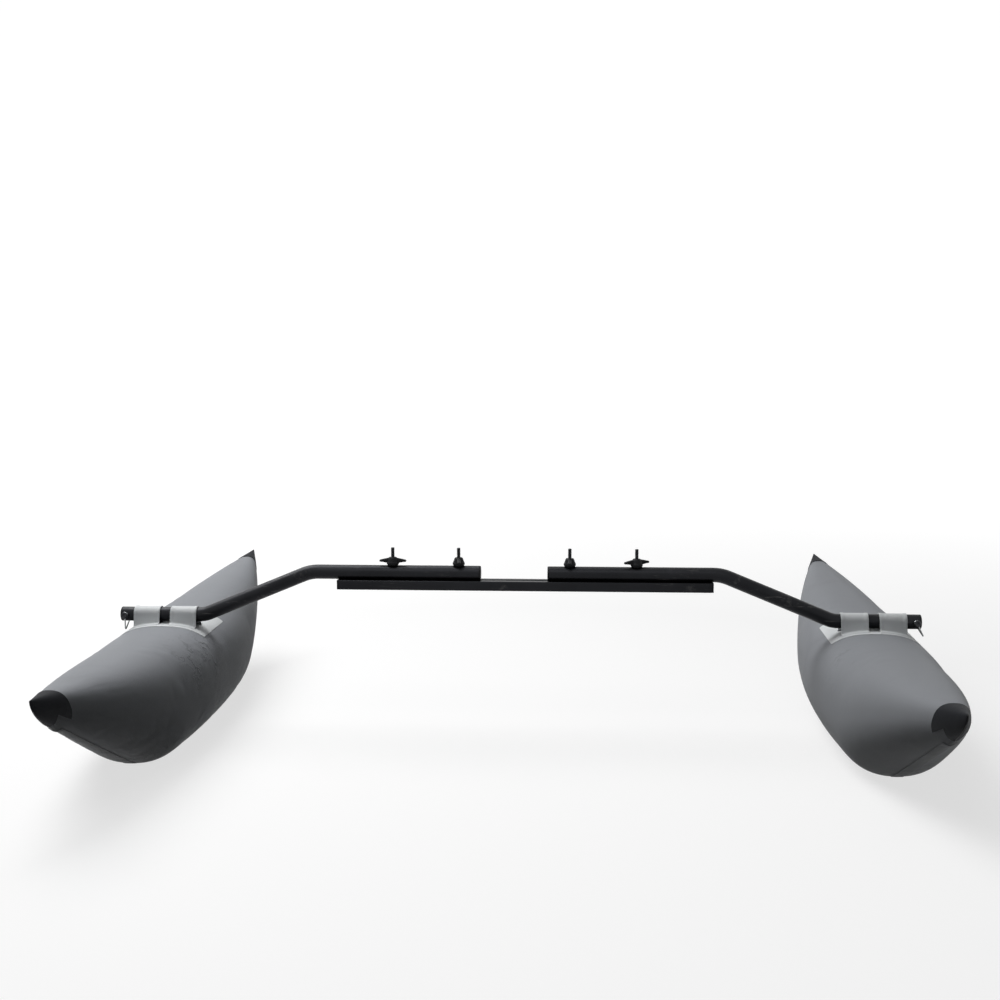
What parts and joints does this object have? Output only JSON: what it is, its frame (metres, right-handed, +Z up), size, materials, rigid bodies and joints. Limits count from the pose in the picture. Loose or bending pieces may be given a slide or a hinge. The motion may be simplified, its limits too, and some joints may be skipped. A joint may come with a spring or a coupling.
{
  "type": "kayak outrigger",
  "caption": "Kayak outrigger: slotted cross rail with two cranked tube arms clamped by wing knobs, each carrying an inflatable float in fabric sleeves.",
  "frame": {"origin": "on the ground under the middle of the two floats", "axes": "+X to the right side, along the cross rail; +Y forward, along the floats; +Z up"},
  "size_m": [1.8354, 1.6026, 0.4213],
  "materials": {
    "black_alloy": "black anodised, satin",
    "black_plastic": "moulded black nylon, satin grain",
    "stainless_steel": "satin stainless steel",
    "dark_steel": "black oxide steel, satin",
    "grey_fabric": "coated grey fabric, smooth satin",
    "light_fabric": "coated light grey fabric, smooth satin",
    "black_fabric": "coated black fabric, smooth satin",
    "tape_fabric": "coated grey seam tape, smooth satin"
  },
  "bodies": {
    "rail": {"cross_rail": "black_alloy", "rail_end_cap_left": "black_plastic", "rail_end_cap_right": "black_plastic"},
    "left_arm": {"left_arm_tube": "black_alloy", "left_arm_inner_plug": "black_plastic", "left_arm_outer_plug": "black_plastic", "left_lock_pin": "dark_steel", "left_inner_t_bolt": "dark_steel", "left_inner_washer": "black_plastic", "left_outer_t_bolt": "dark_steel", "left_outer_washer": "black_plastic"},
    "left_float": {"left_float_skin": "grey_fabric", "left_aft_tip_patch": "black_fabric", "left_fore_tip_patch": "black_fabric", "left_aft_keel_tape": "tape_fabric", "left_fore_keel_tape": "tape_fabric", "left_saddle_pad": "light_fabric", "left_inner_sleeve": "light_fabric", "left_outer_sleeve": "light_fabric", "left_valve_body": "black_plastic"},
    "left_inner_knob": {"left_inner_wing_knob": "black_plastic"},
    "left_outer_knob": {"left_outer_wing_knob": "black_plastic"},
    "left_bail": {"left_pin_bail": "stainless_steel"},
    "left_valve_lid": {"left_valve_cap": "black_plastic"},
    "right_arm": {"right_arm_tube": "black_alloy", "right_arm_inner_plug": "black_plastic", "right_arm_outer_plug": "black_plastic", "right_lock_pin": "dark_steel", "right_inner_t_bolt": "dark_steel", "right_inner_washer": "black_plastic", "right_outer_t_bolt": "dark_steel", "right_outer_washer": "black_plastic"},
    "right_float": {"right_float_skin": "grey_fabric", "right_aft_tip_patch": "black_fabric", "right_fore_tip_patch": "black_fabric", "right_aft_keel_tape": "tape_fabric", "right_fore_keel_tape": "tape_fabric", "right_saddle_pad": "light_fabric", "right_inner_sleeve": "light_fabric", "right_outer_sleeve": "light_fabric", "right_valve_body": "black_plastic"},
    "right_inner_knob": {"right_inner_wing_knob": "black_plastic"},
    "right_outer_knob": {"right_outer_wing_knob": "black_plastic"},
    "right_bail": {"right_pin_bail": "stainless_steel"},
    "right_valve_lid": {"right_valve_cap": "black_plastic"}
  },
  "joints": [
    {"name": "left_arm_slide", "type": "slide", "parent": "rail", "child": "left_arm", "axis": [-1, 0, 0], "range_m": [-0.045, 0.1]},
    {"name": "left_float_pitch", "type": "hinge", "parent": "left_arm", "child": "left_float", "pos_m": [-0.785, -0.02, 0.26535], "axis": [1, 0, 0], "continuous": true},
    {"name": "left_inner_knob_turn", "type": "hinge", "parent": "left_arm", "child": "left_inner_knob", "pos_m": [-0.12298, -0.02, 0.3834], "axis": [0, 0, 1], "continuous": true},
    {"name": "left_outer_knob_turn", "type": "hinge", "parent": "left_arm", "child": "left_outer_knob", "pos_m": [-0.26998, -0.02, 0.3834], "axis": [0, 0, 1], "continuous": true},
    {"name": "left_bail_swing", "type": "hinge", "parent": "left_arm", "child": "left_bail", "pos_m": [-0.8765, -0.02, 0.26535], "axis": [0, 1, 0], "range_deg": [-8, 188]},
    {"name": "left_valve_cap_turn", "type": "hinge", "parent": "left_float", "child": "left_valve_lid", "pos_m": [-0.91288, 0.21, 0.17923], "axis": [-0.9511, 0, 0.309], "continuous": true},
    {"name": "right_arm_slide", "type": "slide", "parent": "rail", "child": "right_arm", "axis": [1, 0, 0], "range_m": [0, 0.145]},
    {"name": "right_float_pitch", "type": "hinge", "parent": "right_arm", "child": "right_float", "pos_m": [0.785, -0.02, 0.26535], "axis": [1, 0, 0], "continuous": true},
    {"name": "right_inner_knob_turn", "type": "hinge", "parent": "right_arm", "child": "right_inner_knob", "pos_m": [0.12298, -0.02, 0.3834], "axis": [0, 0, 1], "continuous": true},
    {"name": "right_outer_knob_turn", "type": "hinge", "parent": "right_arm", "child": "right_outer_knob", "pos_m": [0.26998, -0.02, 0.3834], "axis": [0, 0, 1], "continuous": true},
    {"name": "right_bail_swing", "type": "hinge", "parent": "right_arm", "child": "right_bail", "pos_m": [0.8765, -0.02, 0.26535], "axis": [0, -1, 0], "range_deg": [-35, 161]},
    {"name": "right_valve_cap_turn", "type": "hinge", "parent": "right_float", "child": "right_valve_lid", "pos_m": [0.91288, 0.21, 0.17923], "axis": [0.9511, 0, 0.309], "continuous": true}
  ]
}
